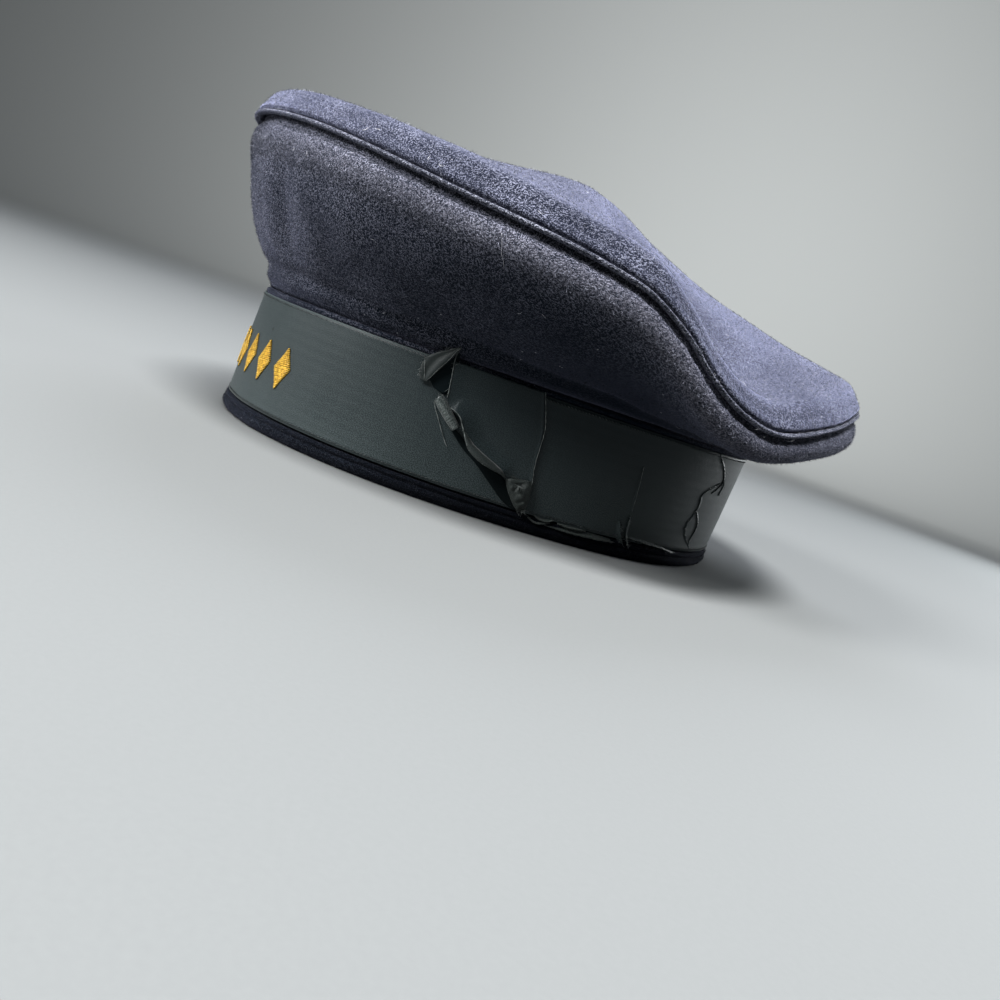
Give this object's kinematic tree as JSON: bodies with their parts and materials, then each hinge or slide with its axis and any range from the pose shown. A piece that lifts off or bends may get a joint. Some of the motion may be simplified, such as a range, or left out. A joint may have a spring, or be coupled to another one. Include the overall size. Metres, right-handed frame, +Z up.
{
  "type": "sailor cap",
  "caption": "Soft round wool sailor cap with a piped crown edge, an upright stand and a ribbon round the band with the torn remains of its bow.",
  "frame": {"origin": "on the floor under the middle of the round crown, which is the middle of the bounding box's base", "axes": "+Z up from the rim's plane, -Y towards the front of the cap, +X towards the wearer's left, where the bow was"},
  "size_m": [0.2504, 0.2504, 0.1221],
  "materials": {
    "wool": "napped navy wool, matt, with lint on it",
    "ribbon": "finely ribbed black ribbon with a faint sheen"
  },
  "bodies": {
    "root": {"crown_top": "wool", "edge_welt": "wool", "crown_side": "wool", "headband": "wool", "ribbon": "ribbon", "ribbon_end": "ribbon", "bow_flap": "ribbon", "bow_roll": "ribbon", "bow_pouch": "ribbon"}
  },
  "joints": []
}
